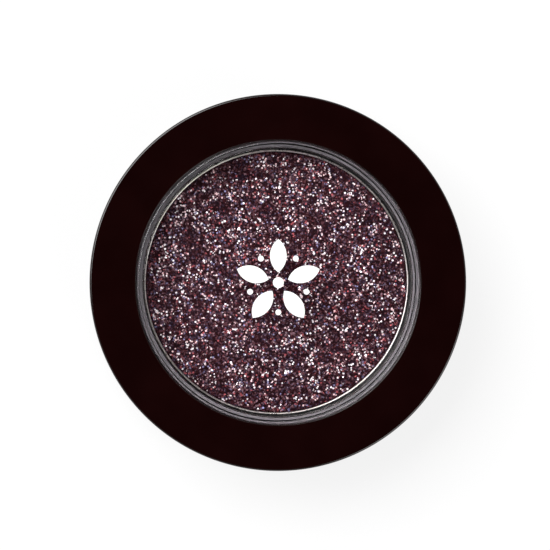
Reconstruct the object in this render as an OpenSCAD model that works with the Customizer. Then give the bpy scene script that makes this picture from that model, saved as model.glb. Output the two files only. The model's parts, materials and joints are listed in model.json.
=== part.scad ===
// Round single-pan eyeshadow compact with a clear window in its hinged lid.
// Millimetres, +Z up. The origin is the middle of the foot, on the surface that the case stands on.
// The hinge is at +Y and the thumb recess at -Y. The case's diameter and height follow from the pan,
// the lid's ring and the stack of floors, tray, pan and window.

/* [Pan and powder] */
// Outside diameter of the metal pan
pan_d = 37; // [26:0.5:60]
// Height of the metal pan
pan_h = 4; // [3:0.1:6]
// Thickness of the pan's metal
pan_t = 0.3; // [0.2:0.05:0.45]
// Radius of the pan's lower edge
pan_edge_r = 0.5; // [0.5:0.1:1]
// How far the pressed powder lies below the pan's rim
powder_drop = 0.25; // [0.1:0.05:0.6]
// How far the pan's rim stands above the parting line
pan_stand = 0.3; // [0.15:0.05:0.5]
// Thickness of the glue disc under the pan
glue_t = 0.1; // [0.05:0.05:0.2]
// How far the glue disc stays back from the pan's side
glue_margin = 2; // [1:0.5:6]

/* [Case] */
// Width of the lid's opaque ring round the window
ring_w = 6.35; // [5.1:0.05:10]
// Thickness of the side walls of base and lid
wall = 1.6; // [1.3:0.1:2]
// Thickness of the base's floor
floor_t = 1.4; // [0.8:0.1:2]
// Width of the foot that the case stands on
foot_w = 5.7; // [2:0.1:10]
// Radius of the base's lower edge
foot_r = 1; // [0.4:0.1:1.6]
// Radius of the lid's upper edge
edge_r = 0.3; // [0.2:0.05:1.2]
// Chamfer on both edges of the parting line
parting_chamfer = 0.15; // [0.1:0.05:0.3]

/* [Tray] */
// Thickness of the tray's deck
deck_t = 1; // [0.8:0.1:1.4]
// How far the deck lies below the parting line
deck_drop = 0.5; // [0.4:0.1:0.8]
// Thickness of the well's side wall
well_wall = 1; // [0.8:0.1:1.2]
// Thickness of the well's floor
well_floor = 0.9; // [0.7:0.1:1.4]
// Height of the support ring between the base's floor and the well
support_h = 0.8; // [0.4:0.1:2]
// How far the support ring lies inside the pan's side
support_in = 4; // [2:0.5:8]

/* [Window] */
// Width of the window that shows outside the pan
window_margin = 1.15; // [1:0.05:2.5]
// Thickness of the lid's top plate
plate_t = 1.4; // [1.1:0.1:2]
// Thickness of the window
lens_t = 1.2; // [0.8:0.1:1.6]
// How far the window lies below the lid's top
lens_recess = 0.3; // [0.1:0.05:0.5]
// Gap between the window and the opening
lens_gap = 0.15; // [0.05:0.05:0.3]
// Thickness of the window's skirt
skirt_t = 0.8; // [0.6:0.1:1.1]
// Length of the window's skirt below its flange
skirt_len = 2.3; // [1:0.1:3]
// Width of the window's flange
flange_w = 1.4; // [1:0.1:1.7]
// Thickness of the window's flange
flange_t = 0.9; // [0.7:0.1:1.3]
// Thickness of the ring that holds the window in
liner_t = 1; // [0.8:0.1:1.4]
// Height between the parting line and that ring
lid_room = 3; // [2.2:0.1:6]

/* [Hinge] */
// Diameter of the hinge pin
pin_d = 1.2; // [1:0.1:1.5]
// Length of the pin that sits in each of the base's ears
pin_grip = 1.8; // [1:0.1:2.4]
// Plastic around the hinge pin
knuckle_wall = 0.95; // [0.75:0.05:1.15]
// Length of the lid's knuckle
knuckle_len = 7.8; // [6:0.1:9.4]
// Gap around the knuckle and the ears
hinge_gap = 0.25; // [0.15:0.05:0.35]
// Radial clearance of the pin in the lid's knuckle
pin_clearance = 0.03; // [0.02:0.01:0.08]
// How far the lid opens, in degrees
open_angle = 105; // [85:1:110]

/* [Catch] */
// Width of the lid's hook
hook_w = 7; // [5:0.5:9]
// Thickness of the lid's hook
hook_t = 1.05; // [0.8:0.05:1.3]
// How far the hook reaches below the parting line
hook_drop = 2.2; // [1.8:0.1:2.7]
// Depth of the thumb recess
thumb_depth = 1; // [0.4:0.1:1.2]
// Radius of the thumb recess
thumb_r = 8; // [4:0.5:12]

/* [Emblem and label] */
// Number of petals in the emblem on the window
petals = 5; // [3:1:7]
// Length of a petal
petal_len = 4.6; // [3:0.1:6]
// Width of a petal
petal_w = 2.3; // [1:0.1:2.6]
// Distance from the emblem's middle to its petals
petal_start = 1.4; // [1.2:0.1:2.5]
// Diameter of the emblem's middle
eye_d = 1.5; // [0.8:0.1:1.9]
// Diameter of the dots between the petals
dot_d = 0.8; // [0.4:0.1:1]
// Distance from the emblem's middle to those dots
dot_at = 4.1; // [3.7:0.1:6]
// Thickness of the emblem's ink
ink_t = 0.03; // [0.02:0.01:0.06]
// Thickness of the label underneath
label_t = 0.12; // [0.08:0.02:0.2]
// Depth of the label's recess
label_recess = 0.3; // [0.25:0.05:0.5]
// Gap around the label in its recess
label_gap = 0.3; // [0.1:0.1:1]

/* [Hidden] */
$fn = 96;
fit_gap = 0.1;      // gap round a piece that drops into another
powder_gap = 0.02;  // gap between the powder and the pan's side
overlap = 0.4;      // how far a feature runs into the wall that carries it
past = 1;           // how far a cut runs past what it cuts

// radii
pan_r = pan_d / 2;
well_r = pan_r + fit_gap;
lip_r = well_r + well_wall;                 // outside of the tray's well
window_r = pan_r + window_margin;
lens_r = window_r - lens_gap;
flange_r = lens_r + flange_w;
rib_r = flange_r + fit_gap;                 // inside of the lid's rib round the flange
rib_t = 1;                                  // thickness of that rib
case_r = window_r + ring_w;
inner_r = case_r - wall;                    // inside of the base's and the lid's side walls
drop_in_r = inner_r - fit_gap;              // outside of the tray and of the ring in the lid
recess_r = case_r - foot_w;                 // the label's recess
support_r = pan_r - support_in;             // outside of the support ring
support_t = 1;                              // thickness of the support ring

// heights, from the surface up
floor_z = label_recess + floor_t;
well_z = floor_z + support_h;               // underside of the well
glue_z = well_z + well_floor;
pan_z = glue_z + glue_t;
base_h = pan_z + pan_h - pan_stand;         // the parting line
deck_z = base_h - deck_drop;                // top of the tray's deck
lip_z = base_h + fit_gap;                   // top of the tray's well
liner_z = base_h + lid_room;
flange_z = liner_z + liner_t;
plate_z = flange_z + flange_t;              // underside of the lid's top plate
case_h = plate_z + plate_t;
lens_z = case_h - lens_recess;              // top of the window

// hinge
knuckle_r = pin_d / 2 + knuckle_wall;
hinge_cut_r = knuckle_r + hinge_gap;
hinge_skin = 0.1;                           // from the knuckle to the case's outside
hinge_inset = knuckle_r + hinge_skin;
hinge_y = case_r - hinge_inset;
crescent = sqrt(case_r * case_r - hinge_y * hinge_y);   // half width of the case at the hinge's axis
scoop_r = hinge_inset / cos(open_angle / 2) + hinge_gap;
ear_x = knuckle_len / 2 + hinge_gap;        // inner end of each ear
ear_end = crescent - hinge_skin;            // outer end of each ear
pin_len = 2 * (ear_x + pin_grip);
pin_chamfer = 0.1;
block_wall = 0.8;                           // plastic in front of the knuckle's cut
block_y = hinge_y - hinge_cut_r - block_wall;   // inner face of the block that carries the ears
block_h = 4;

// catch
hook_gap = 0.4;                             // between the hook and the base's wall
hook_r = inner_r - hook_gap;                // outside of the hook
hook_back = sqrt(pow(hook_r - hook_t, 2) - pow(hook_w / 2, 2));   // where the hook reaches furthest in
hook_z = base_h - hook_drop;
bump = 0.15;                                // how far the hook's bump stands out
bump_h = 0.6;
ridge = 0.18;                               // how far the base's ridge stands in
ridge_play = 0.15;                          // height between the bump and the ridge
ridge_z = hook_z + bump_h + ridge_play;     // underside of the ridge
ridge_h = 0.7;
ridge_flat = 0.14;                          // height of the ridge's flat crest
lead = 0.3;                                 // chamfer at the hook's end

// snap nubs above the tray and below the ring in the lid, clear of the hinge and the hook
nub_angles = [30, 150, 210, 330];
nub_arc = 8;                                // angle that one nub spans
nub_in = 0.25;                              // how far a nub stands in
nub_h = 0.3;
stop_step = 60;                             // angle between the stops that the tray rests on
stop_w = 1;

lens_edge_r = 0.3;                          // radius of the window's upper edge
opening_edge_r = 0.1;                       // radius of the opening's upper edge

// what rounding takes off a profile's corner, where sx and sz point from the corner into the piece
module corner(x, z, r, sx, sz) translate([x, z]) scale([sx, sz]) difference() {
    translate([-past, -past]) square(r + past);
    translate([r, r]) circle(r = r);
}

// a round bar along X on the hinge's axis
module on_axis(r, x0, x1)
    translate([x0, hinge_y, base_h]) rotate([0, 90, 0]) cylinder(r = r, h = x1 - x0);

// a box across the case, w wide, from y0 to y1 and z0 to z1
module across(w, y0, y1, z0, z1) translate([-w / 2, y0, z0]) cube([w, y1 - y0, z1 - z0]);

module both_sides() {
    children();
    mirror([1, 0, 0]) children();
}

module inside_case() intersection() {
    children();
    cylinder(r = case_r, h = case_h);
}

// the stretch of a turned profile that lies at the front, w wide
module at_front(w, profile) intersection() {
    rotate_extrude() polygon(profile);
    across(w, -case_r - past, -case_r / 2, 0, case_h);
}

// nubs on the inside of a wall, with their flat side at height z and their slope above or below it
module nubs(z, up) for (a = nub_angles) rotate([0, 0, a - nub_arc / 2])
    rotate_extrude(angle = nub_arc)
        polygon([[inner_r + overlap, z], [inner_r - nub_in, z], [inner_r - nub_in, z + up * nub_h / 2],
                 [inner_r, z + up * nub_h], [inner_r + overlap, z + up * nub_h]]);

// stops round the base's wall that the tray's deck rests on
module stops() for (a = [0 : stop_step : 360 - stop_step]) rotate([0, 0, a])
    translate([drop_in_r - wall, -stop_w / 2, floor_z - floor_t / 2])
        cube([wall + overlap, stop_w, deck_z - deck_t - floor_z + floor_t / 2]);

module support_ring() translate([0, 0, floor_z - floor_t / 2]) difference() {
    cylinder(r = support_r, h = support_h + floor_t / 2);
    translate([0, 0, -past]) cylinder(r = support_r - support_t, h = support_h + floor_t + past);
}

module base_cup() rotate_extrude() difference() {
    polygon([[0, label_recess], [recess_r, label_recess], [recess_r, 0], [case_r, 0],
             [case_r, base_h - parting_chamfer], [case_r - parting_chamfer, base_h],
             [inner_r, base_h], [inner_r, floor_z], [0, floor_z]]);
    corner(case_r, 0, foot_r, -1, 1);
}

module hinge_block() inside_case()
    across(2 * ear_end, block_y, hinge_y + overlap, base_h - block_h, base_h);

// room behind the axis for the back of the lid as it swings down
module scoop() intersection() {
    on_axis(scoop_r, -case_r, case_r);
    across(2 * case_r, hinge_y, case_r + past, 0, base_h + past);
}

// scoop below the parting line for a fingernail under the lid's edge
module thumb_recess() translate([-case_r, -case_r - thumb_r + thumb_depth, base_h])
    rotate([0, 90, 0]) cylinder(r = thumb_r, h = 2 * case_r);

// ridge inside the base's front wall, over which the hook snaps
module catch_ridge() at_front(hook_w,
    [[inner_r + overlap, ridge_z], [inner_r, ridge_z],
     [inner_r - ridge, ridge_z + (ridge_h - ridge_flat) / 2],
     [inner_r - ridge, ridge_z + (ridge_h + ridge_flat) / 2],
     [inner_r, ridge_z + ridge_h], [inner_r + overlap, ridge_z + ridge_h]]);

module base_shell() color([0.03, 0.02, 0.02]) difference() {
    union() {
        difference() {
            union() {
                base_cup();
                hinge_block();
            }
            scoop();
            thumb_recess();
        }
        inside_case() both_sides() on_axis(knuckle_r, ear_x, ear_end);
        stops();
        support_ring();
        nubs(deck_z, 1);
        catch_ridge();
    }
    on_axis(hinge_cut_r, -ear_x, ear_x);
    on_axis(pin_d / 2, -pin_len / 2, case_r);
}

// deck with the well for the pan, cut back at the hinge's block and at the hook
module base_tray() color([0.05, 0.045, 0.045]) difference() {
    rotate_extrude() difference() {
        polygon([[0, well_z], [lip_r, well_z], [lip_r, deck_z - deck_t], [drop_in_r, deck_z - deck_t],
                 [drop_in_r, deck_z], [lip_r, deck_z], [lip_r, lip_z], [well_r, lip_z],
                 [well_r, glue_z], [0, glue_z]]);
        corner(lip_r, lip_z, well_wall / 2, -1, -1);
    }
    across(2 * (ear_end + fit_gap), block_y - fit_gap, case_r, 0, case_h);
    across(hook_w + 2 * hook_gap, -case_r, hook_gap - hook_back, 0, case_h);
}

module pan_glue() color([0.85, 0.83, 0.75]) translate([0, 0, glue_z])
    cylinder(r = pan_r - glue_margin, h = glue_t);

module pan() color([0.8, 0.8, 0.82]) rotate_extrude() difference() {
    polygon([[0, pan_z], [pan_r, pan_z], [pan_r, pan_z + pan_h], [pan_r - pan_t, pan_z + pan_h],
             [pan_r - pan_t, pan_z + pan_t], [0, pan_z + pan_t]]);
    corner(pan_r, pan_z, pan_edge_r, -1, 1);
}

module eyeshadow() color([0.25, 0.14, 0.18]) translate([0, 0, pan_z + pan_t])
    cylinder(r = pan_r - pan_t - powder_gap, h = pan_h - pan_t - powder_drop);

module lid_cup() rotate_extrude() difference() {
    polygon([[window_r, plate_z], [window_r, case_h], [case_r, case_h], [case_r, base_h + parting_chamfer],
             [case_r - parting_chamfer, base_h], [inner_r, base_h], [inner_r, plate_z],
             [rib_r + rib_t, plate_z], [rib_r + rib_t, flange_z], [rib_r, flange_z], [rib_r, plate_z]]);
    corner(case_r, case_h, edge_r, -1, -1);
    corner(window_r, case_h, opening_edge_r, 1, -1);
}

// hook on the inside of the lid's front wall
module hook() at_front(hook_w,
    [[hook_r - hook_t, plate_z + overlap], [hook_r - hook_t, hook_z + lead],
     [hook_r - hook_t + lead, hook_z], [hook_r - lead / 2, hook_z], [hook_r + bump, hook_z + lead],
     [hook_r + bump, hook_z + bump_h / 2], [hook_r, hook_z + bump_h], [hook_r, base_h],
     [inner_r + overlap, base_h], [inner_r + overlap, plate_z + overlap]]);

module lid_knuckle() inside_case() {
    on_axis(knuckle_r, -knuckle_len / 2, knuckle_len / 2);
    across(knuckle_len, hinge_y - knuckle_r, case_r, base_h, plate_z + overlap);
}

// room in the lid's wall for one of the base's ears
module ear_notch() translate([knuckle_len / 2, hinge_y - hinge_cut_r, base_h - past])
    cube([crescent - knuckle_len / 2 + hinge_gap, case_r, past + hinge_cut_r]);

module lid_frame() color([0.03, 0.02, 0.02]) difference() {
    union() {
        difference() {
            lid_cup();
            both_sides() ear_notch();
        }
        lid_knuckle();
        hook();
        nubs(liner_z, -1);
    }
    on_axis(pin_d / 2 + pin_clearance, -knuckle_len, knuckle_len);
}

// ring that holds the window's flange, notched for the hook and the knuckle
module lid_inner_ring() color([0.05, 0.045, 0.045]) difference() {
    translate([0, 0, liner_z]) cylinder(r = drop_in_r, h = liner_t);
    cylinder(r = window_r, h = case_h);
    across(hook_w + 2 * fit_gap, -case_r, fit_gap - hook_back, 0, case_h);
    across(knuckle_len + 2 * fit_gap, hinge_y - knuckle_r - fit_gap, case_r, 0, case_h);
}

module window_lens() color([0.9, 0.93, 0.95, 0.35]) rotate_extrude() difference() {
    polygon([[0, lens_z - lens_t], [lens_r - skirt_t, lens_z - lens_t],
             [lens_r - skirt_t, flange_z - skirt_len], [lens_r, flange_z - skirt_len],
             [lens_r, flange_z], [flange_r, flange_z], [flange_r, plate_z], [lens_r, plate_z],
             [lens_r, lens_z], [0, lens_z]]);
    corner(lens_r, lens_z, lens_edge_r, -1, -1);
}

// a petal that points along Y: where two circles cross
module petal() {
    r = (petal_len * petal_len + petal_w * petal_w) / (4 * petal_w);
    intersection() {
        translate([r - petal_w / 2, 0]) circle(r = r);
        translate([petal_w / 2 - r, 0]) circle(r = r);
    }
}

module window_emblem() color("white") translate([0, 0, lens_z]) linear_extrude(height = ink_t) {
    for (i = [0 : petals - 1]) rotate(360 / petals * i) {
        translate([0, petal_start + petal_len / 2]) petal();
        rotate(180 / petals) translate([0, dot_at]) circle(r = dot_d / 2);
    }
    circle(r = eye_d / 2);
}

module hinge_pin() color([0.7, 0.7, 0.72])
    translate([-pin_len / 2, hinge_y, base_h]) rotate([0, 90, 0]) rotate_extrude()
        polygon([[0, 0], [pin_d / 2 - pin_chamfer, 0], [pin_d / 2, pin_chamfer],
                 [pin_d / 2, pin_len - pin_chamfer], [pin_d / 2 - pin_chamfer, pin_len], [0, pin_len]]);

module base_label() color([0.75, 0.74, 0.72]) translate([0, 0, label_recess - label_t])
    cylinder(r = recess_r - label_gap, h = label_t);

base_shell();
base_tray();
pan_glue();
pan();
eyeshadow();
lid_frame();
lid_inner_ring();
window_lens();
window_emblem();
hinge_pin();
base_label();
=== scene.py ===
"""Looks of the eyeshadow compact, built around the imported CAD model.

Sizes are millimetres, taken from the frame's own boxes and from the named values below, and angles are
degrees. Meshes are made at 1/1000 of that, so everything lands in metres in the CAD's frame. The lamps and
the camera are placed in metres.
"""
import json
import math
import random
import bmesh
import bpy
from mathutils import Euler, Matrix, Vector, noise


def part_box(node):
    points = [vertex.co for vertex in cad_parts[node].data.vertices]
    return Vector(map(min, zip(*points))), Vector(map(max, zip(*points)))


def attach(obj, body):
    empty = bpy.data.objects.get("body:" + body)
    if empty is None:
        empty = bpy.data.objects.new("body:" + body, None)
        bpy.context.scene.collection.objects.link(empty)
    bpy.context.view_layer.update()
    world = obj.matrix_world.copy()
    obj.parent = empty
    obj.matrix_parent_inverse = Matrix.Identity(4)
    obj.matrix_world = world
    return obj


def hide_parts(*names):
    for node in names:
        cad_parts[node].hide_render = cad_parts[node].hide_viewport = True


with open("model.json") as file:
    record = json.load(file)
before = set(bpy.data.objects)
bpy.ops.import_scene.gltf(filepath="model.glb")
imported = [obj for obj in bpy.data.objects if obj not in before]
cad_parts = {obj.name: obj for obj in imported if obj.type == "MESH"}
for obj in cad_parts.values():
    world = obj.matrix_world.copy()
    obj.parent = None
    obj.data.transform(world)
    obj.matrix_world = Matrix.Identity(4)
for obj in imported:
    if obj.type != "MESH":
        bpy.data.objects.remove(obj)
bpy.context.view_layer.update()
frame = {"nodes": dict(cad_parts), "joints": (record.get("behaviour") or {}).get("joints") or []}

MM = 0.001
TURN = 2 * math.pi
SMOOTH_ANGLE = 35       # an edge that turns by less than this is shaded smooth
BREAK_ANGLE = 50        # an edge that turns by more than this gets broken
ON_AXIS = 1e-6          # a radius up to this is a point on the axis

# steps round the turned and round shapes
FINE = 256
MEDIUM = 192
ARC_STEPS = 24
PIN_STEPS = 48
ROUND_CUT_STEPS = 192
ROUNDING_STEPS = 5


# ---------------------------------------------------------------- sizes, in millimetres

def box_mm(node):
    low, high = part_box(node)
    return low / MM, high / MM


def top(node):
    return box_mm(node)[1].z


def bottom(node):
    return box_mm(node)[0].z


def reach(node):
    """Largest radius of a turned node."""
    return box_mm(node)[1].x


HINGE = frame["joints"][0]["pos_m"]
HINGE_Y, PARTING = HINGE[1] / MM, HINGE[2] / MM
OPEN_ANGLE = frame["joints"][0]["range_deg"][1]

# thicknesses, clearances and roundings that the nodes' boxes don't tell
FIT_GAP = 0.1           # round a piece that drops into another
INTO_WALL = 0.4         # how far a feature runs into the wall that carries it
PAST = 1.0              # how far a cutter runs past what it cuts
WALL = 1.6              # side walls of base and lid
CORNER_R = 0.3          # inside corners of base and lid
FILLET_R = 0.2          # smaller corners
PLATE_T = 1.4           # the lid's top plate
EDGE_BREAK = 0.07       # width of the broken edges of lid and base
INNER_BREAK = 0.06      # and of the tray and the liner
EDGE_R = 0.3            # the lid's upper edge
OPENING_EDGE_R = 0.1    # the opening's upper edge
PARTING_R = 0.15        # both edges at the parting line
RIB_T = 1.0             # the lid's rib round the window's flange
FOOT_R = 1.0            # the base's lower edge
FLOOR_T = 1.4           # the base's floor
LABEL_GAP = 0.3         # round the label in its recess
RECESS_EDGE_R = 0.15    # the edge of that recess
SUPPORT_IN = 4.0        # from the pan's side in to the support ring
SUPPORT_T = 1.0
SUPPORT_FOOT_R = 0.1
WINDOW_MARGIN = 1.15    # window that shows outside the pan
LENS_GAP = 0.15         # between the window and its opening
LENS_T = 1.2            # the window
LENS_EDGE_R = 0.3       # its upper edge
SKIRT_T = 0.8           # its skirt
SKIRT_CORNER_R = 0.15   # inside the skirt, under the window
SKIRT_BEVEL_IN = 0.1    # bevels at the skirt's end
SKIRT_BEVEL_OUT = 0.04
GROOVE_IN = 0.42        # from the skirt's inside to the groove in its end
GROOVE_W = 0.18
GROOVE_D = 0.15
FLANGE_EDGE_R = 0.08    # the edge of the window's flange
LINER_EDGE_R = 0.12     # the lower edges of the ring under that flange
PAN_T = 0.3             # the pan's metal
PAN_EDGE_R = 0.5        # the pan's lower edge
POWDER_GAP = 0.02       # between the powder and the pan's side
CAKE_FOOT_R = 0.15      # the powder's lower edge
CAKE_EDGE_R = 0.12      # the powder's upper edge
WELL_WALL = 1.0         # the tray's well
WELL_FLOOR = 0.9
WELL_EDGE_R = 0.08      # inside the well's lip
DECK_T = 1.0            # the tray's deck
DECK_DROP = 0.5         # from the parting line down to the deck
DECK_EDGE_R = 0.1
HINGE_GAP = 0.25        # round the knuckle and the ears
PIN_PLAY = 0.03         # round the pin in the knuckle
KNUCKLE_HALF = 3.9      # half of the length of the lid's knuckle
BLOCK_WALL = 0.8        # plastic in front of the knuckle's cut
BLOCK_H = 4.0           # height of the block that carries the ears
HOOK_W = 7.0            # the lid's hook
HOOK_T = 1.05
HOOK_GAP = 0.4          # between the hook and the base's wall
HOOK_LEAD = 0.3         # chamfer at the hook's end
BUMP = 0.15             # how far the hook's bump stands out
BUMP_H = 0.6
BUMP_FLAT = 0.1         # height of the bump's flat crest
RIDGE = 0.18            # how far the base's ridge stands in
RIDGE_H = 0.7
RIDGE_FLAT = 0.14       # height of the ridge's flat crest
RIDGE_PLAY = 0.15       # height between the bump and the ridge
NUB_ANGLES = (30, 150, 210, 330)
NUB_ARC = 8             # angle that a snap nub spans
NUB_IN = 0.25           # how far a snap nub stands in
NUB_H = 0.3
THUMB_R = 8.0           # the thumb recess
THUMB_DEPTH = 1.0

CASE_R = reach("lid_frame")
CASE_H = top("lid_frame")
INNER_R = CASE_R - WALL
DROP_IN_R = INNER_R - FIT_GAP
PLATE_Z = CASE_H - PLATE_T
PAN_R = reach("pan")
PAN_TOP = top("pan")
WELL_R = PAN_R + FIT_GAP
LIP_R = WELL_R + WELL_WALL
WELL_Z = bottom("base_tray")
DECK_Z = PARTING - DECK_DROP
POWDER_R = PAN_R - PAN_T
POWDER_TOP = top("eyeshadow")
SUPPORT_R = PAN_R - SUPPORT_IN
WINDOW_R = PAN_R + WINDOW_MARGIN
LENS_R = WINDOW_R - LENS_GAP
LENS_TOP = top("window_lens")
SKIRT_Z = bottom("window_lens")
FLANGE_R = reach("window_lens")
FLANGE_Z = top("lid_inner_ring")
LINER_Z = bottom("lid_inner_ring")
RIB_R = FLANGE_R + FIT_GAP
LABEL_R = reach("base_label")
LABEL_TOP = top("base_label")
RECESS_R = LABEL_R + LABEL_GAP
FLOOR_Z = LABEL_TOP + FLOOR_T
KNUCKLE_R = top("base_shell") - PARTING
HINGE_CUT_R = KNUCKLE_R + HINGE_GAP
PIN_R = (top("hinge_pin") - bottom("hinge_pin")) / 2
EAR_IN = KNUCKLE_HALF + HINGE_GAP
EAR_OUT = math.sqrt(CASE_R ** 2 - HINGE_Y ** 2) - FIT_GAP
BLOCK_Y = HINGE_Y - HINGE_CUT_R - BLOCK_WALL
SCOOP_R = (CASE_R - HINGE_Y) / math.cos(math.radians(OPEN_ANGLE / 2)) + HINGE_GAP
HOOK_Z = bottom("lid_frame")
HOOK_R = INNER_R - HOOK_GAP
HOOK_BACK = math.sqrt((HOOK_R - HOOK_T) ** 2 - (HOOK_W / 2) ** 2)   # how far forward the hook's back is
THUMB_Y = THUMB_DEPTH - CASE_R - THUMB_R


# ---------------------------------------------------------------- mesh helpers

def fillet(points):
    """Closed outline of (radius, height) or (radius, height, rounding), with those corners rounded."""
    out = []
    count = len(points)
    for i, point in enumerate(points):
        corner = Vector(point[:2])
        size = point[2] if len(point) > 2 else 0
        if not size:
            out.append(corner)
            continue
        before = (Vector(points[i - 1][:2]) - corner).normalized()
        after = (Vector(points[(i + 1) % count][:2]) - corner).normalized()
        half = before.angle(after) / 2
        centre = corner + (before + after).normalized() * (size / math.sin(half))
        start = corner + before * (size / math.tan(half)) - centre
        end = corner + after * (size / math.tan(half)) - centre
        for k in range(ROUNDING_STEPS + 1):
            out.append(centre + start.slerp(end, k / ROUNDING_STEPS).normalized() * size)
    return out


def shade(bm, sharp=SMOOTH_ANGLE):
    """Smooth shading, except at edges that turn by more than the angle."""
    for face in bm.faces:
        face.smooth = True
    for edge in bm.edges:
        edge.smooth = edge.is_manifold and edge.calc_face_angle(math.pi) < math.radians(sharp)


def finish_mesh(bm, name, sharp=SMOOTH_ANGLE):
    """Object in metres from a bmesh in millimetres."""
    bmesh.ops.recalc_face_normals(bm, faces=bm.faces)
    shade(bm, sharp)
    bmesh.ops.scale(bm, vec=(MM, MM, MM), verts=bm.verts)
    mesh = bpy.data.meshes.new(name)
    bm.to_mesh(mesh)
    bm.free()
    obj = bpy.data.objects.new(name, mesh)
    bpy.context.scene.collection.objects.link(obj)
    return obj


def apply_modifiers(obj):
    """Replaces the object's mesh with what its modifiers make of it."""
    graph = bpy.context.evaluated_depsgraph_get()
    graph.update()
    made = bpy.data.meshes.new_from_object(obj.evaluated_get(graph), depsgraph=graph)
    obj.modifiers.clear()
    obj.data = made
    return obj


def even_normals(obj):
    """Keeps flat faces flat next to their rounded edges."""
    weighted = obj.modifiers.new("even", "WEIGHTED_NORMAL")
    weighted.keep_sharp = True
    return apply_modifiers(obj)


def turned(outline, steps):
    """Closed bmesh turned from an outline of (radius, height) points."""
    bm = bmesh.new()
    rings = []
    for x, z in outline:
        count = steps if x > ON_AXIS else 1
        rings.append([bm.verts.new((x * math.cos(TURN * k / steps), x * math.sin(TURN * k / steps), z))
                      for k in range(count)])
    for ring, other in zip(rings, rings[1:] + rings[:1]):
        for k in range(steps if len(ring) + len(other) > 2 else 0):
            n = (k + 1) % steps
            corners = [ring[k % len(ring)], ring[n % len(ring)],
                       other[n % len(other)], other[k % len(other)]]
            bm.faces.new(list(dict.fromkeys(corners)))      # a corner on the axis counts once
    return bm


def arc_solid(outline, middle, span):
    """Stretch of a turned outline, span degrees wide round the middle angle."""
    bm = bmesh.new()
    rings = []
    for k in range(ARC_STEPS + 1):
        a = math.radians(middle + span * (k / ARC_STEPS - 0.5))
        rings.append([bm.verts.new((x * math.cos(a), x * math.sin(a), z)) for x, z in outline])
    for ring, other in zip(rings, rings[1:]):
        for i in range(len(outline)):
            j = (i + 1) % len(outline)
            bm.faces.new((ring[i], ring[j], other[j], other[i]))
    bm.faces.new(rings[0])
    bm.faces.new(rings[-1][::-1])
    return bm


def at_front(outline, radius):
    """Stretch of a turned outline at the front, as wide as the hook at that radius."""
    return arc_solid(outline, -90, 2 * math.degrees(math.asin(HOOK_W / 2 / radius)))


def bar_x(r, x0, x1, y=HINGE_Y, steps=96):
    """Round bar along X at the height of the parting line, on the hinge's axis unless moved."""
    bm = bmesh.new()
    turn = Matrix.Translation(((x0 + x1) / 2, y, PARTING)) @ Matrix.Rotation(math.pi / 2, 4, "Y")
    bmesh.ops.create_cone(bm, cap_ends=True, segments=steps, radius1=r, radius2=r, depth=x1 - x0,
                          matrix=turn)
    return bm


def block(x0, x1, y0, y1, z0, z1):
    bm = bmesh.new()
    place = Matrix.Translation(((x0 + x1) / 2, (y0 + y1) / 2, (z0 + z1) / 2))
    bmesh.ops.create_cube(bm, size=1, matrix=place @ Matrix.Diagonal((x1 - x0, y1 - y0, z1 - z0, 1)))
    return bm


def across(half, y0, y1, z0=0.0, z1=CASE_H):
    """Box across the case, half wide to each side, over its full height unless told otherwise."""
    return block(-half, half, y0, y1, z0, z1)


def combine(body, other, operation):
    """Boolean of two solids; the second one is used up."""
    modifier = body.modifiers.new("boolean", "BOOLEAN")
    modifier.operation = operation
    modifier.solver = "MANIFOLD"
    modifier.object = other
    apply_modifiers(body)
    bpy.data.objects.remove(other)
    return body


def cut(body, bm):
    return combine(body, finish_mesh(bm, "cutter"), "DIFFERENCE")


def add(body, bm):
    return combine(body, finish_mesh(bm, "addition"), "UNION")


def inside_case(solid, steps=MEDIUM):
    """Part of a solid that lies within the case's round outline."""
    limit = turned([(0, 0), (CASE_R, 0), (CASE_R, CASE_H), (0, CASE_H)], steps)
    return combine(solid, finish_mesh(limit, "limit"), "INTERSECT")


def crease(bm, r, y):
    """Keeps the outline of a shallow round cut along X, made at the parting line, crisp."""
    tolerance = 0.01
    on_cut = {}
    for face in bm.faces:
        middle = face.calc_center_median() / MM
        on_cut[face] = abs(math.hypot(middle.y - y, middle.z - PARTING) - r) < tolerance
    for edge in bm.edges:
        if len({on_cut[face] for face in edge.link_faces}) == 2:
            edge.smooth = False


def soften(body, width=EDGE_BREAK, round_cuts=()):
    """Breaks the sharp edges that cutting left, and evens out the shading.

    Round cuts are (radius, y) of shallow cuts along X, whose outlines stay crisp.
    """
    bevel = body.modifiers.new("bevel", "BEVEL")
    bevel.width = width * MM
    bevel.segments = 2
    bevel.limit_method = "ANGLE"
    bevel.angle_limit = math.radians(BREAK_ANGLE)
    apply_modifiers(body)
    bm = bmesh.new()
    bm.from_mesh(body.data)
    shade(bm)
    for r, y in round_cuts:
        crease(bm, r, y)
    bm.to_mesh(body.data)
    bm.free()
    return even_normals(body)


def lathe(name, outline, steps=FINE):
    """Turned solid from a closed outline of (radius, height) points."""
    return finish_mesh(turned(outline, steps), name)


# ---------------------------------------------------------------- node helpers

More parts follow.
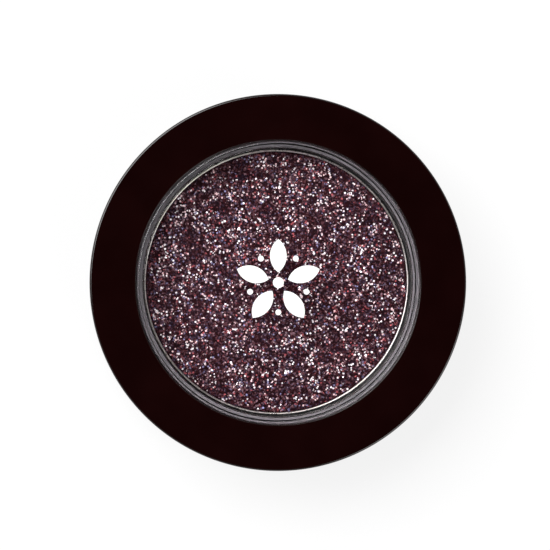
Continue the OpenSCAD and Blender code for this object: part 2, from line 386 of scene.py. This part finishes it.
class Nodes:
    """Short way to build a node tree."""

    def __init__(self, tree):
        self.tree = tree

    def add(self, kind, **settings):
        node = self.tree.nodes.new(kind)
        for key, value in settings.items():
            setattr(node, key, value)
        return node

    def link(self, source, target):
        self.tree.links.new(source, target)

    def feed(self, socket, value):
        """Gives an input socket a number, a colour or another node's output."""
        if isinstance(value, (int, float)):
            socket.default_value = value
        elif isinstance(value, tuple):
            socket.default_value = (*value, 1)
        else:
            self.link(value, socket)

    def span(self, value, low, high, to_low=0.0, to_high=1.0):
        """Maps low..high to to_low..to_high, and holds the ends beyond."""
        node = self.add("ShaderNodeMapRange")
        for name, number in (("From Min", low), ("From Max", high), ("To Min", to_low), ("To Max", to_high)):
            node.inputs[name].default_value = number
        self.link(value, node.inputs["Value"])
        return node.outputs["Result"]

    def ramp(self, value, *stops):
        """Colour ramp; each stop is (position, colour)."""
        node = self.add("ShaderNodeValToRGB")
        elements = node.color_ramp.elements
        while len(elements) < len(stops):
            elements.new(0.5)
        for element, (position, colour) in zip(elements, stops):
            element.position = position
            element.color = (*colour, 1)
        self.link(value, node.inputs["Fac"])
        return node.outputs["Color"]

    def math(self, operation, a, b):
        node = self.add("ShaderNodeMath", operation=operation)
        self.feed(node.inputs[0], a)
        self.feed(node.inputs[1], b)
        return node.outputs["Value"]

    def mix(self, factor, a, b):
        """Colour between a and b."""
        node = self.add("ShaderNodeMix", data_type="RGBA")
        colour_a, colour_b, result = node.inputs[6], node.inputs[7], node.outputs[2]
        for socket, value in ((node.inputs["Factor"], factor), (colour_a, a), (colour_b, b)):
            self.feed(socket, value)
        return result


class Surface(Nodes):
    """A material's node tree, round its Principled shader."""

    def __init__(self, name):
        self.material = bpy.data.materials.new(name)
        self.material.use_nodes = True
        super().__init__(self.material.node_tree)
        self.shader = self.tree.nodes["Principled BSDF"]
        self.output = self.tree.nodes["Material Output"]
        self.place = self.add("ShaderNodeTexCoord").outputs["Object"]

    def set(self, **values):
        """Gives sockets of the shader a value, or another node's output, by their names."""
        for key, value in values.items():
            self.feed(self.shader.inputs[key.replace("_", " ")], value)

    def noise(self, per_mm, detail=3.0):
        """Noise with that many features to the millimetre."""
        node = self.add("ShaderNodeTexNoise")
        node.inputs["Scale"].default_value = per_mm / MM
        node.inputs["Detail"].default_value = detail
        node.inputs["Roughness"].default_value = 0.6
        self.link(self.place, node.inputs["Vector"])
        return node.outputs["Fac"]

    def cells(self, per_mm, output="Distance"):
        """Voronoi cells, that many to the millimetre."""
        node = self.add("ShaderNodeTexVoronoi")
        node.inputs["Scale"].default_value = per_mm / MM
        self.link(self.place, node.inputs["Vector"])
        return node.outputs[output]

    def bump(self, height, depth_mm, strength):
        node = self.add("ShaderNodeBump")
        node.inputs["Strength"].default_value = strength
        node.inputs["Distance"].default_value = depth_mm * MM
        self.link(height, node.inputs["Height"])
        self.link(node.outputs["Normal"], self.shader.inputs["Normal"])

    def wear(self, base, worn, amount):
        """Colour that goes towards worn, in patches, along the piece's edges."""
        width = 0.2 * MM
        rounded = self.add("ShaderNodeBevel", samples=4)
        rounded.inputs["Radius"].default_value = width
        same = self.add("ShaderNodeVectorMath", operation="DOT_PRODUCT")
        self.link(rounded.outputs["Normal"], same.inputs[0])
        self.link(self.add("ShaderNodeNewGeometry").outputs["Normal"], same.inputs[1])
        edge = self.span(same.outputs["Value"], 0.99, 0.90)
        patchy = self.math("MULTIPLY", edge, self.span(self.noise(0.8), 0.4, 0.7, 0.2, 1.0))
        return self.mix(self.math("MULTIPLY", patchy, amount), base, worn)

    def blend_with(self, other, factor):
        """Shows the other shader in place of this one by the factor."""
        mixer = self.add("ShaderNodeMixShader")
        self.link(factor, mixer.inputs["Fac"])
        self.link(self.shader.outputs["BSDF"], mixer.inputs[1])
        self.link(other, mixer.inputs[2])
        self.link(mixer.outputs["Shader"], self.output.inputs["Surface"])


# ---------------------------------------------------------------- materials

def glossy_black():
    """Polished case plastic with a slight maroon cast."""
    s = Surface("case_gloss_black")
    tone = s.ramp(s.noise(0.12, detail=2), (0.3, (0.0042, 0.0004, 0.0004)), (0.75, (0.0065, 0.0010, 0.0010)))
    smudge = s.span(s.noise(0.35, detail=4), 0.4, 0.75, 0.05, 0.10)
    scratch = s.span(s.noise(6.0, detail=2), 0.62, 0.75, 0.0, 0.05)
    s.set(Base_Color=s.wear(tone, (0.03, 0.02, 0.02), 0.35),
          Roughness=s.math("ADD", smudge, scratch), IOR=1.5)
    s.bump(s.noise(0.5, detail=2), 0.002, 0.2)
    return s.material


def satin_black():
    s = Surface("tray_satin_black")
    tone = s.ramp(s.noise(0.5), (0.3, (0.008, 0.006, 0.006)), (0.8, (0.015, 0.012, 0.012)))
    s.set(Base_Color=s.wear(tone, (0.04, 0.035, 0.035), 0.4),
          Roughness=s.span(s.noise(2.5), 0.3, 0.8, 0.34, 0.52), IOR=1.5)
    s.bump(s.noise(9.0), 0.006, 0.4)
    return s.material


def clear_plastic():
    """Clear moulding. Lamps shine through it, so that what lies under it is lit."""
    s = Surface("window_clear_plastic")
    tone = s.ramp(s.noise(0.08), (0.3, (0.965, 0.96, 0.965)), (0.7, (0.99, 0.985, 0.99)))
    scuffs = s.span(s.noise(0.6, detail=4), 0.45, 0.8, 0.0, 0.02)
    s.set(Base_Color=tone, Roughness=scuffs, IOR=1.49, Transmission_Weight=1.0)
    through = s.add("ShaderNodeBsdfTransparent")
    s.feed(through.inputs["Color"], (0.92, 0.91, 0.92))
    s.blend_with(through.outputs["BSDF"], s.add("ShaderNodeLightPath").outputs["Is Shadow Ray"])
    return s.material


def frosted_plastic():
    """Moulded end of the window's skirt, fine-eroded so that it scatters."""
    s = Surface("skirt_frosted_plastic")
    tone = s.ramp(s.noise(2.0), (0.3, (0.33, 0.30, 0.33)), (0.7, (0.49, 0.455, 0.485)))
    s.set(Base_Color=tone, Roughness=s.span(s.noise(5.0), 0.3, 0.8, 0.35, 0.55), IOR=1.49,
          Transmission_Weight=0.6)
    s.bump(s.noise(10.0), 0.02, 0.6)
    return s.material


def aluminium():
    s = Surface("pan_aluminium")
    tone = s.ramp(s.noise(0.9), (0.3, (0.65, 0.60, 0.57)), (0.8, (0.80, 0.75, 0.72)))
    s.set(Base_Color=tone, Roughness=s.span(s.noise(3.0), 0.3, 0.8, 0.24, 0.38), Metallic=1.0)
    s.bump(s.noise(2.0), 0.002, 0.3)
    return s.material


def steel():
    s = Surface("pin_steel")
    tone = s.ramp(s.noise(3.0), (0.3, (0.50, 0.50, 0.51)), (0.8, (0.64, 0.64, 0.66)))
    s.set(Base_Color=tone, Roughness=s.span(s.noise(7.0), 0.3, 0.8, 0.2, 0.38), Metallic=1.0)
    return s.material


def pressed_powder():
    """Dark plum powder, full of fine glitter that runs from wine red to slate blue."""
    s = Surface("powder_plum")
    ground = s.ramp(s.noise(2.2, detail=4), (0.3, (0.007, 0.0006, 0.0012)), (0.7, (0.017, 0.0032, 0.005)))
    grain = s.add("ShaderNodeSeparateColor")
    s.link(s.cells(5.0, output="Color"), grain.inputs["Color"])
    light, hue, kind = (grain.outputs[name] for name in ("Red", "Green", "Blue"))
    warm = s.ramp(light, (0.0, (0.012, 0.001, 0.002)), (0.6, (0.046, 0.009, 0.011)),
                  (0.9, (0.11, 0.04, 0.047)), (1.0, (0.22, 0.12, 0.13)))
    cool = s.ramp(light, (0.0, (0.005, 0.002, 0.006)), (0.6, (0.020, 0.014, 0.028)),
                  (0.9, (0.06, 0.045, 0.075)), (1.0, (0.16, 0.13, 0.19)))
    fleck = s.mix(s.span(hue, 0.3, 0.7), warm, cool)
    s.set(Base_Color=s.mix(s.span(kind, 0.45, 0.5), ground, fleck),
          Roughness=s.span(light, 0.0, 1.0, 0.4, 0.8), Specular_IOR_Level=0.03)
    s.bump(s.cells(5.0), 0.05, 0.8)
    return s.material


def glitter(name, dark, light):
    """Foil flakes whose colour changes from flake to flake."""
    s = Surface("glitter_" + name)
    s.set(Base_Color=s.mix(s.noise(2.0, detail=1), dark, light), Metallic=0.45, Roughness=0.4,
          Specular_IOR_Level=0.2)
    return s.material


def white_ink():
    s = Surface("emblem_white_ink")
    tone = s.ramp(s.noise(3.0), (0.3, (0.88, 0.88, 0.86)), (0.7, (0.95, 0.95, 0.94)))
    s.set(Base_Color=tone, Roughness=s.span(s.noise(4.0), 0.3, 0.7, 0.4, 0.55))
    s.bump(s.noise(12.0), 0.002, 0.4)
    return s.material


def label_paper():
    """Satin sticker with two printed rings near its edge."""
    s = Surface("label_satin_paper")
    paper = s.ramp(s.noise(3.0, detail=5), (0.3, (0.66, 0.65, 0.62)), (0.7, (0.80, 0.79, 0.76)))
    from_middle = s.add("ShaderNodeVectorMath", operation="LENGTH")
    s.link(s.place, from_middle.inputs[0])
    r = from_middle.outputs["Value"]
    blur = 0.03 * MM
    printed = 0.0
    for inner, outer in ((0.90, 0.93), (0.86, 0.868)):      # shares of the label's radius
        start, stop = inner * LABEL_R * MM, outer * LABEL_R * MM
        ring = s.math("MULTIPLY", s.span(r, start, start + blur), s.span(r, stop, stop - blur))
        printed = s.math("MAXIMUM", printed, ring)
    s.set(Base_Color=s.mix(printed, paper, (0.05, 0.02, 0.03)),
          Roughness=s.span(s.noise(6.0), 0.3, 0.7, 0.5, 0.7))
    s.bump(s.noise(15.0, detail=5), 0.004, 0.5)
    return s.material


def hot_glue():
    s = Surface("pan_hot_glue")
    tone = s.ramp(s.noise(0.6), (0.3, (0.60, 0.54, 0.40)), (0.7, (0.75, 0.70, 0.56)))
    s.set(Base_Color=tone, Roughness=0.4)
    return s.material


# ---------------------------------------------------------------- pieces

def use(obj, material):
    obj.data.materials.clear()
    obj.data.materials.append(material)


def stand_for(obj, node, body, material):
    """Shows the object in place of a CAD node, moving with the body."""
    use(obj, material)
    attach(obj, body)
    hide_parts(node)


def both_sides(near, far):
    """Stretches of X from near to far, on the left and on the right."""
    return (-far, -near), (near, far)


def add_nubs(shell, z, up):
    """Snap nubs inside a wall, flat at height z and sloped above it (up is 1) or below it (up is -1)."""
    inside, outside = INNER_R - NUB_IN, INNER_R + INTO_WALL
    outline = [(outside, z), (inside, z), (inside, z + up * NUB_H / 2),
               (INNER_R, z + up * NUB_H), (outside, z + up * NUB_H)]
    for angle in NUB_ANGLES:
        add(shell, arc_solid(outline, angle, NUB_ARC))


def lid_knuckle():
    """Round knuckle on the hinge's axis, with a web up to the plate."""
    knuckle = finish_mesh(bar_x(KNUCKLE_R, -KNUCKLE_HALF, KNUCKLE_HALF), "knuckle")
    add(knuckle, across(KNUCKLE_HALF, HINGE_Y - KNUCKLE_R, CASE_R, PARTING, PLATE_Z + INTO_WALL))
    return inside_case(knuckle, FINE)


def lid_hook():
    """Tongue below the lid's front, with a bump near its end for the base's ridge."""
    back, crest = HOOK_R - HOOK_T, HOOK_R + BUMP
    lead_z = HOOK_Z + HOOK_LEAD
    in_wall, in_plate = INNER_R + INTO_WALL, PLATE_Z + INTO_WALL
    return at_front([
        (back, in_plate), (back, lead_z), (back + HOOK_LEAD, HOOK_Z), (HOOK_R - BUMP, HOOK_Z),
        (crest, lead_z), (crest, lead_z + BUMP_FLAT), (HOOK_R, HOOK_Z + BUMP_H), (HOOK_R, PARTING),
        (in_wall, PARTING), (in_wall, in_plate)], HOOK_R)


def make_lid(material):
    """Lid shell: plate, side wall and rib, with the knuckle at the back and the hook at the front."""
    shell = lathe("lid_shell", fillet([
        (WINDOW_R, PLATE_Z), (WINDOW_R, CASE_H, OPENING_EDGE_R), (CASE_R, CASE_H, EDGE_R),
        (CASE_R, PARTING, PARTING_R), (INNER_R, PARTING), (INNER_R, PLATE_Z, CORNER_R),
        (RIB_R + RIB_T, PLATE_Z, FILLET_R), (RIB_R + RIB_T, FLANGE_Z), (RIB_R, FLANGE_Z), (RIB_R, PLATE_Z)]))
    for x0, x1 in both_sides(KNUCKLE_HALF, EAR_OUT + HINGE_GAP + FIT_GAP):
        cut(shell, block(x0, x1, HINGE_Y - HINGE_CUT_R, CASE_R + PAST, PARTING - PAST, PARTING + HINGE_CUT_R))
    combine(shell, lid_knuckle(), "UNION")
    add(shell, lid_hook())
    add_nubs(shell, LINER_Z, -1)
    cut(shell, bar_x(PIN_R + PIN_PLAY, -2 * KNUCKLE_HALF, 2 * KNUCKLE_HALF, steps=PIN_STEPS))
    stand_for(soften(shell), "lid_frame", "lid", material)


def base_block():
    """Block at the back that carries the ears."""
    bm = across(EAR_OUT, BLOCK_Y, HINGE_Y + INTO_WALL, PARTING - BLOCK_H, PARTING)
    return inside_case(finish_mesh(bm, "block"))


def base_scoop():
    """Round cutter behind the hinge's axis, where the lid's edge swings through."""
    scoop = finish_mesh(bar_x(SCOOP_R, -CASE_R, CASE_R, steps=ROUND_CUT_STEPS), "scoop")
    behind = finish_mesh(across(CASE_R, HINGE_Y, CASE_R + PAST, 0, PARTING + PAST), "behind")
    return combine(scoop, behind, "INTERSECT")


def base_ridge():
    """Ridge inside the front wall that holds the hook's bump."""
    low = HOOK_Z + BUMP_H + RIDGE_PLAY
    middle, high = low + RIDGE_H / 2, low + RIDGE_H
    crest, in_wall = INNER_R - RIDGE, INNER_R + INTO_WALL
    return at_front([
        (in_wall, low), (INNER_R, low), (crest, middle - RIDGE_FLAT / 2), (crest, middle + RIDGE_FLAT / 2),
        (INNER_R, high), (in_wall, high)], INNER_R)


def make_base(material):
    """Base shell: cup, the block and ears that carry the pin, thumb recess, and the ridge for the hook."""
    shell = lathe("base_cup", fillet([
        (0, LABEL_TOP), (RECESS_R, LABEL_TOP), (RECESS_R, 0, RECESS_EDGE_R), (CASE_R, 0, FOOT_R),
        (CASE_R, PARTING, PARTING_R), (INNER_R, PARTING), (INNER_R, FLOOR_Z, CORNER_R),
        (SUPPORT_R, FLOOR_Z, SUPPORT_FOOT_R), (SUPPORT_R, WELL_Z), (SUPPORT_R - SUPPORT_T, WELL_Z),
        (SUPPORT_R - SUPPORT_T, FLOOR_Z, SUPPORT_FOOT_R), (0, FLOOR_Z)]))
    combine(shell, base_block(), "UNION")
    combine(shell, base_scoop(), "DIFFERENCE")
    cut(shell, bar_x(THUMB_R, -CASE_R, CASE_R, y=THUMB_Y, steps=ROUND_CUT_STEPS))
    for x0, x1 in both_sides(EAR_IN, EAR_OUT):
        combine(shell, inside_case(finish_mesh(bar_x(KNUCKLE_R, x0, x1), "ear")), "UNION")
    add(shell, base_ridge())
    add_nubs(shell, DECK_Z, 1)
    cut(shell, bar_x(HINGE_CUT_R, -EAR_IN, EAR_IN))
    cut(shell, bar_x(PIN_R, box_mm("hinge_pin")[0].x, CASE_R, steps=PIN_STEPS))
    soften(shell, round_cuts=[(THUMB_R, THUMB_Y), (SCOOP_R, HINGE_Y)])
    stand_for(shell, "base_shell", "base", material)


def make_tray(material):
    """Deck with the well for the pan, cut back at the hinge's block and at the hook."""
    lip_z = top("base_tray")
    tray = lathe("tray_deck", fillet([
        (0, WELL_Z), (LIP_R, WELL_Z, FILLET_R), (LIP_R, DECK_Z - DECK_T), (DROP_IN_R, DECK_Z - DECK_T),
        (DROP_IN_R, DECK_Z, DECK_EDGE_R), (LIP_R, DECK_Z, FILLET_R), (LIP_R, lip_z, WELL_WALL / 2),
        (WELL_R, lip_z, WELL_EDGE_R), (WELL_R, WELL_Z + WELL_FLOOR, FILLET_R), (0, WELL_Z + WELL_FLOOR)]))
    cut(tray, across(EAR_OUT + FIT_GAP, BLOCK_Y - FIT_GAP, CASE_R))
    cut(tray, across(HOOK_W / 2 + HOOK_GAP, -CASE_R, HOOK_GAP - HOOK_BACK))
    stand_for(soften(tray, INNER_BREAK), "base_tray", "base", material)


def make_liner(material):
    """Ring that holds the window's flange in the lid."""
    ring = lathe("window_liner", fillet([
        (WINDOW_R, LINER_Z, LINER_EDGE_R), (DROP_IN_R, LINER_Z, LINER_EDGE_R), (DROP_IN_R, FLANGE_Z),
        (WINDOW_R, FLANGE_Z)]))
    cut(ring, across(HOOK_W / 2 + FIT_GAP, -CASE_R, FIT_GAP - HOOK_BACK))
    cut(ring, across(KNUCKLE_HALF + FIT_GAP, HINGE_Y - KNUCKLE_R - FIT_GAP, CASE_R))
    stand_for(soften(ring, INNER_BREAK), "lid_inner_ring", "lid", material)


def make_lens():
    """Window plate with its flange, and the skirt, whose end has a frosted land on each side of a groove."""
    inner, under = LENS_R - SKIRT_T, LENS_TOP - LENS_T
    groove_in, groove_out = inner + GROOVE_IN, inner + GROOVE_IN + GROOVE_W
    step = SKIRT_Z + GROOVE_D
    outline = fillet([
        (0, under), (inner, under, SKIRT_CORNER_R), (inner, step), (inner + SKIRT_BEVEL_IN, SKIRT_Z),
        (groove_in, SKIRT_Z), (groove_in, step), (groove_out, step), (groove_out, SKIRT_Z),
        (LENS_R - SKIRT_BEVEL_OUT, SKIRT_Z), (LENS_R, step), (LENS_R, FLANGE_Z),
        (FLANGE_R, FLANGE_Z, FLANGE_EDGE_R), (FLANGE_R, PLATE_Z, FLANGE_EDGE_R), (LENS_R, PLATE_Z),
        (LENS_R, LENS_TOP, LENS_EDGE_R), (0, LENS_TOP)])
    lens = even_normals(lathe("window_lens_clear", outline))
    stand_for(lens, "window_lens", "lid", clear_plastic())
    lens.data.materials.append(frosted_plastic())
    tolerance = 0.01
    for polygon in lens.data.polygons:
        if polygon.center.z < (step - tolerance) * MM:
            polygon.material_index = 1


def make_pan():
    """Pressed tin with a rolled rim."""
    low = bottom("pan")
    rolled = PAN_T * 0.48       # a little under half, so that the rim's two roundings don't meet
    outline = fillet([
        (0, low), (PAN_R, low, PAN_EDGE_R), (PAN_R, PAN_TOP, rolled), (POWDER_R, PAN_TOP, rolled),
        (POWDER_R, low + PAN_T, FILLET_R), (0, low + PAN_T)])
    stand_for(even_normals(lathe("pan_godet", outline)), "pan", "base", aluminium())


def make_powder():
    """Pressed cake with a rounded edge where it meets the pan."""
    low = bottom("pan") + PAN_T
    side = POWDER_R - POWDER_GAP
    outline = fillet([(0, low), (side, low, CAKE_FOOT_R), (side, POWDER_TOP, CAKE_EDGE_R), (0, POWDER_TOP)])
    cake = even_normals(lathe("eyeshadow_cake", outline, steps=MEDIUM))
    stand_for(cake, "eyeshadow", "base", pressed_powder())


# ---------------------------------------------------------------- glitter

FLAKE_SIDES = 6
FLAKE_T = 0.02              # a flake's thickness
FLAKE_R = (0.10, 0.17)      # the smallest and the largest flake
FLAKE_Z = (-0.02, 0.05)     # the lowest and the highest, from the cake's top
FLAKE_MARGIN = 0.2          # bare cake next to the pan
MAX_LEAN = 60
FLAT_ANGLE = 20             # a flake's faces meet at more than this, and are shaded flat
CLUMPS = ((0.3, 9, 0.6), (0.7, 0, 1.0), (1.6, 5, 0.6))      # noise per millimetre, its layer, its share
EVEN_CHANCE = 0.45          # chance that a tried place is kept where the noise is nil
CLUMP_CHANCE = 0.9          # and how much the noise changes it


def add_flake(bm, place, size, turn):
    """One foil flake: a thin hexagonal plate."""
    rings = []
    for z in (-FLAKE_T / 2, FLAKE_T / 2):
        ring = []
        for k in range(FLAKE_SIDES):
            a = TURN * k / FLAKE_SIDES
            ring.append(bm.verts.new(turn @ Vector((size * math.cos(a), size * math.sin(a), z)) + place))
        rings.append(ring)
    bm.faces.new(rings[1])
    bm.faces.new(rings[0][::-1])
    for k in range(FLAKE_SIDES):
        n = (k + 1) % FLAKE_SIDES
        bm.faces.new((rings[0][k], rings[0][n], rings[1][n], rings[1][k]))


def clumped_place(dice, clumping):
    """Random place on the cake. Clumping goes from 0, even, to 1, gathered in clumps a few mm across."""
    while True:
        r, a = (POWDER_R - FLAKE_MARGIN) * math.sqrt(dice.random()), TURN * dice.random()
        x, y = r * math.cos(a), r * math.sin(a)
        thick = sum(share * noise.noise((x * per_mm, y * per_mm, layer)) for per_mm, layer, share in CLUMPS)
        if dice.random() < EVEN_CHANCE + CLUMP_CHANCE * clumping * thick:
            return x, y


def make_flakes(name, count, dice, dark, light, clumping=0.9, tilt=22):
    """Loose glitter of one colour, pressed into the top of the cake; tilt is the spread of its leaning."""
    bm = bmesh.new()
    for _ in range(count):
        x, y = clumped_place(dice, clumping)
        lean = math.radians(min(abs(dice.gauss(0, tilt)), MAX_LEAN))
        heading = Euler((0, lean, TURN * dice.random())).to_matrix()
        spin = Euler((0, 0, TURN * dice.random())).to_matrix()
        place = Vector((x, y, POWDER_TOP + dice.uniform(*FLAKE_Z)))
        add_flake(bm, place, dice.uniform(*FLAKE_R), heading @ spin)
    obj = finish_mesh(bm, "glitter_flakes_" + name, sharp=FLAT_ANGLE)
    use(obj, glitter(name, dark, light))
    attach(obj, "base")


# ---------------------------------------------------------------- stage, lights and camera

def make_floor():
    """Pale floor that reads white to the eye and in reflections, and keeps the case's shadow."""
    far_away = 900
    whiteness = 0.8
    bm = bmesh.new()
    bmesh.ops.create_grid(bm, x_segments=8, y_segments=8, size=far_away)
    floor = finish_mesh(bm, "floor")
    s = Surface("floor_pale")
    tone = s.ramp(s.noise(0.02), (0.3, (0.86, 0.86, 0.86)), (0.7, (0.88, 0.88, 0.88)))
    s.set(Base_Color=tone, Roughness=0.9, Specular_IOR_Level=0.1)
    rays = s.add("ShaderNodeLightPath").outputs
    seen = s.math("MAXIMUM", rays["Is Camera Ray"], rays["Is Glossy Ray"])
    seen = s.math("MAXIMUM", seen, rays["Is Transmission Ray"])
    s.blend_with(s.add("ShaderNodeEmission").outputs["Emission"], s.math("MULTIPLY", seen, whiteness))
    use(floor, s.material)


def make_world():
    """Pale round the sides and dark overhead, as in a small light tent with a black card over it.

    The camera sees it white, and so does the window near the horizon, where it shows what is behind it.
    """
    world = bpy.data.worlds.new("studio")
    bpy.context.scene.world = world
    world.use_nodes = True
    n = Nodes(world.node_tree)
    split = n.add("ShaderNodeSeparateXYZ")
    n.link(n.add("ShaderNodeTexCoord").outputs["Generated"], split.inputs["Vector"])
    height = split.outputs["Z"]         # 0 at the horizon and 1 overhead
    tent = n.ramp(height, (0.55, (0.55, 0.55, 0.55)), (0.9, (0.012, 0.012, 0.012)))
    rays = n.add("ShaderNodeLightPath").outputs
    behind_window = n.math("MULTIPLY", rays["Is Transmission Ray"], n.span(height, 0.3, 0.2))
    seen = n.math("MAXIMUM", rays["Is Camera Ray"], behind_window)
    n.link(n.mix(seen, tent, (1.0, 1.0, 1.0)), n.tree.nodes["Background"].inputs["Color"])


def add_lamp(name, azimuth, elevation, size, watts):
    """Square soft lamp aimed at the case, in metres. Azimuth 0 is +X and 90 is +Y."""
    distance = 0.7
    a, e = math.radians(azimuth), math.radians(elevation)
    away = Vector((math.cos(e) * math.cos(a), math.cos(e) * math.sin(a), math.sin(e)))
    data = bpy.data.lights.new(name, "AREA")
    data.shape = "SQUARE"
    data.size = size
    data.energy = watts
    lamp = bpy.data.objects.new(name, data)
    lamp.location = away * distance + Vector((0, 0, PAN_TOP * MM))
    lamp.rotation_euler = away.to_track_quat("Z", "Y").to_euler()
    bpy.context.scene.collection.objects.link(lamp)


def make_camera():
    """Almost straight down, from a little to the left and behind, with +Y up in the picture; in metres."""
    distance = 0.5
    fill = 0.6863           # share of the picture's width that the case takes up
    aim = Vector((-0.00047, 0.00105, CASE_H * MM))
    away = Vector((-0.0474, 0.0104, 1)).normalized()
    right = Vector((0, 1, 0)).cross(away).normalized()
    turn = Matrix((right, away.cross(right), away)).transposed()
    data = bpy.data.cameras.new("camera")
    data.sensor_width = 36
    data.lens = data.sensor_width * fill * distance / (2 * CASE_R * MM)
    camera = bpy.data.objects.new("camera", data)
    camera.matrix_world = Matrix.LocRotScale(aim + away * distance, turn, None)
    bpy.context.scene.collection.objects.link(camera)
    bpy.context.scene.camera = camera


# ---------------------------------------------------------------- the compact on its stage

case_black = glossy_black()
inner_black = satin_black()
make_lid(case_black)
make_base(case_black)
make_tray(inner_black)
make_liner(inner_black)
make_lens()
make_pan()
make_powder()

dice = random.Random(4)
make_flakes("plum", 3200, dice, (0.03, 0.004, 0.005), (0.12, 0.042, 0.054), clumping=0.2, tilt=20)
make_flakes("mauve", 2100, dice, (0.09, 0.036, 0.045), (0.27, 0.16, 0.19), clumping=0.4)
make_flakes("red", 1050, dice, (0.16, 0.02, 0.03), (0.50, 0.12, 0.13), clumping=0.6)
make_flakes("blue", 750, dice, (0.06, 0.055, 0.13), (0.32, 0.30, 0.50), clumping=0.6)
make_flakes("rose", 950, dice, (0.75, 0.46, 0.48), (1.0, 0.80, 0.81), tilt=24)
make_flakes("silver", 1300, dice, (0.90, 0.83, 0.87), (1.0, 0.96, 0.98), tilt=24)

use(frame["nodes"]["hinge_pin"], steel())
use(frame["nodes"]["window_emblem"], white_ink())
use(frame["nodes"]["base_label"], label_paper())
use(frame["nodes"]["pan_glue"], hot_glue())

make_floor()
make_world()
add_lamp("key", azimuth=138, elevation=50, size=0.6, watts=6.8)
add_lamp("fill", azimuth=-40, elevation=36, size=0.55, watts=2.6)
make_camera()
bpy.context.scene.view_settings.view_transform = "Standard"
